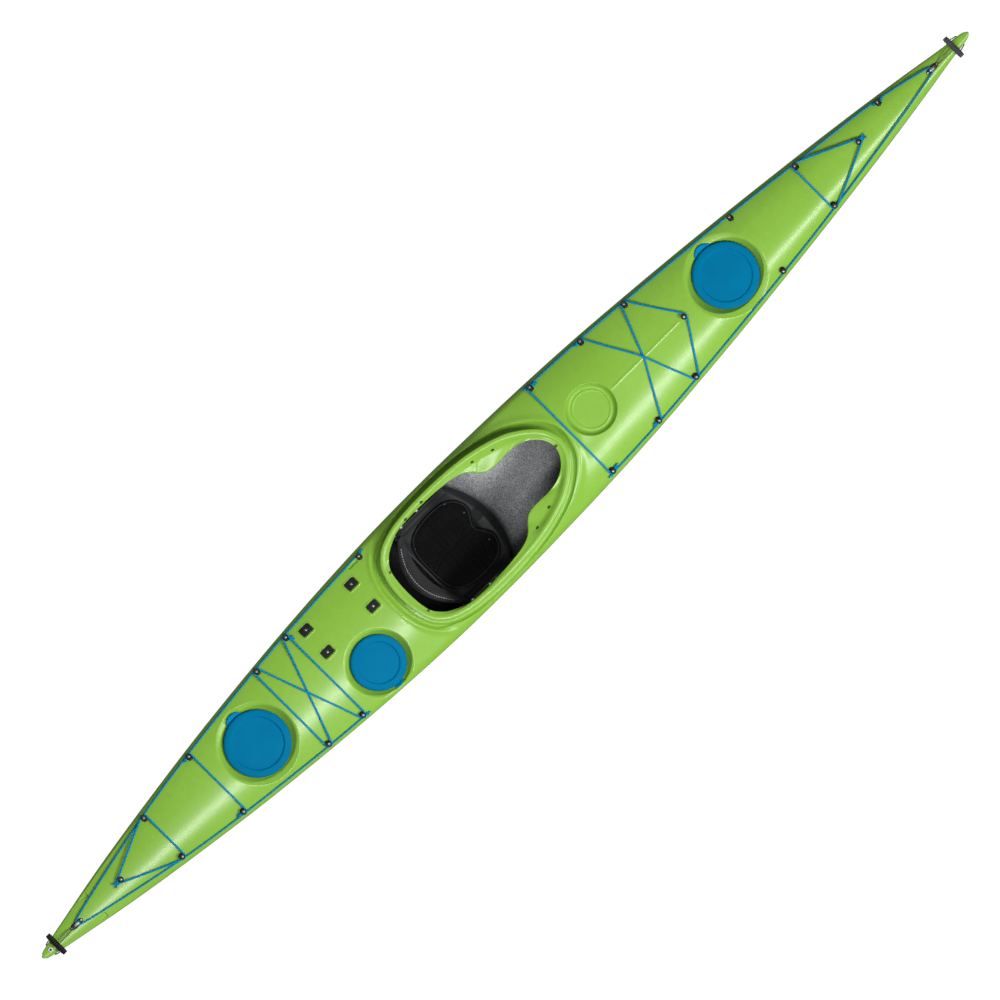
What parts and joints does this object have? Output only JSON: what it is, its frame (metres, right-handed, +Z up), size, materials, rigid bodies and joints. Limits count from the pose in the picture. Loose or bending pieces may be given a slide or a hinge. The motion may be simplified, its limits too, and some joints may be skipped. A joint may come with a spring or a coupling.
{
  "type": "sea kayak",
  "caption": "Single-seat plastic sea kayak with a keyhole cockpit, seat with backrest, round hatches with covers, deck lines, elastic deck cords and carrying toggles.",
  "frame": {"origin": "on the keel at the middle of the boat's length, on its centreline, where the hull stands", "axes": "+X towards the bow, +Y to port, +Z up"},
  "size_m": [5.2, 0.5484, 0.4852],
  "materials": {
    "hull_lime": "satin",
    "hatch_blue": "satin",
    "cord_blue": "matte",
    "elastic_blue": "matte",
    "black_plastic": "satin",
    "black_rubber": "matte",
    "cord_black": "matte",
    "elastic_black": "matte",
    "seat_dark": "satin",
    "upholstery_black": "matte",
    "bulkhead_grey": "matte",
    "steel": "polished",
    "alloy": "satin",
    "white_nylon": "satin"
  },
  "bodies": {
    "kayak": {"hull_shell": "hull_lime", "stern_bush": "white_nylon", "aft_bulkhead": "bulkhead_grey", "cockpit_bulkhead": "bulkhead_grey", "fore_bulkhead": "bulkhead_grey", "seat_shell": "seat_dark", "seat_cushion": "upholstery_black", "backrest_pivot_port": "steel", "backrest_pivot_starboard": "steel", "foot_rail_port": "alloy", "foot_rail_starboard": "alloy", "fitting_aft_centre": "black_plastic", "fitting_quarter_port": "black_plastic", "fitting_quarter_starboard": "black_plastic", "fitting_stern_hatch_port": "black_plastic", "fitting_stern_hatch_starboard": "black_plastic", "fitting_aft_deck_port": "black_plastic", "fitting_aft_deck_starboard": "black_plastic", "fitting_rear_deck_port": "black_plastic", "fitting_rear_deck_starboard": "black_plastic", "fitting_cockpit_port": "black_plastic", "fitting_foredeck_1_port": "black_plastic", "fitting_foredeck_1_starboard": "black_plastic", "fitting_foredeck_2_port": "black_plastic", "fitting_foredeck_2_starboard": "black_plastic", "fitting_foredeck_3_port": "black_plastic", "fitting_foredeck_3_starboard": "black_plastic", "fitting_foredeck_centre": "black_plastic", "fitting_bow_hatch_port": "black_plastic", "fitting_bow_hatch_starboard": "black_plastic", "fitting_fore_port": "black_plastic", "fitting_fore_starboard": "black_plastic", "fitting_fore_centre": "black_plastic", "fitting_bow_port": "black_plastic", "deck_pad_aft_outer": "black_plastic", "deck_pad_aft_inner": "black_plastic", "deck_pad_fore_outer": "black_plastic", "deck_pad_fore_inner": "black_plastic", "stern_saddle": "black_plastic", "bow_saddle": "black_plastic", "bungee_stern": "elastic_blue", "bungee_stern_hatch": "elastic_blue", "bungee_aft_deck": "elastic_blue", "bungee_foredeck_single": "elastic_blue", "bungee_foredeck": "elastic_blue", "bungee_bow": "elastic_blue", "deck_line_aft": "cord_blue", "deck_line_fore": "cord_blue", "stern_toggle_keeper": "elastic_black", "bow_toggle_keeper": "elastic_black"},
    "stern_hatch_cover": {"hatch_cover_stern": "hatch_blue"},
    "day_hatch_cover": {"hatch_cover_day": "hatch_blue"},
    "bow_hatch_cover": {"hatch_cover_bow": "hatch_blue"},
    "backrest": {"backrest": "upholstery_black"},
    "foot_pedal_port": {"foot_pedal_port": "black_plastic"},
    "foot_pedal_starboard": {"foot_pedal_starboard": "black_plastic"},
    "stern_toggle": {"stern_toggle": "black_rubber", "stern_toggle_loop": "cord_black"},
    "bow_toggle": {"bow_toggle": "black_rubber", "bow_toggle_loop": "cord_black"}
  },
  "joints": [
    {"name": "stern_hatch_lift", "type": "slide", "parent": "kayak", "child": "stern_hatch_cover", "axis": [0.0223, -0.001, 0.9998], "range_m": [0, 0.1]},
    {"name": "day_hatch_lift", "type": "slide", "parent": "kayak", "child": "day_hatch_cover", "axis": [0.0076, -0.1151, 0.9933], "range_m": [0, 0.1]},
    {"name": "bow_hatch_lift", "type": "slide", "parent": "kayak", "child": "bow_hatch_cover", "axis": [-0.0371, -0.002, 0.9993], "range_m": [0, 0.1]},
    {"name": "backrest_tilt", "type": "hinge", "parent": "kayak", "child": "backrest", "pos_m": [-0.425, 0, 0.122], "axis": [0, 1, 0], "range_deg": [-8, 60]},
    {"name": "foot_pedal_slide_port", "type": "slide", "parent": "kayak", "child": "foot_pedal_port", "axis": [0.9982, -0.0603, 0], "range_m": [-0.12, 0.12]},
    {"name": "foot_pedal_slide_starboard", "type": "slide", "parent": "kayak", "child": "foot_pedal_starboard", "axis": [0.9982, 0.0603, 0], "range_m": [-0.12, 0.12]},
    {"name": "stern_toggle_swing", "type": "hinge", "parent": "kayak", "child": "stern_toggle", "pos_m": [-2.554, 0, 0.30988], "axis": [0, -1, 0], "range_deg": [0, 60]},
    {"name": "bow_toggle_swing", "type": "hinge", "parent": "kayak", "child": "bow_toggle", "pos_m": [2.554, 0, 0.42937], "axis": [0, 1, 0], "range_deg": [0, 60]}
  ]
}
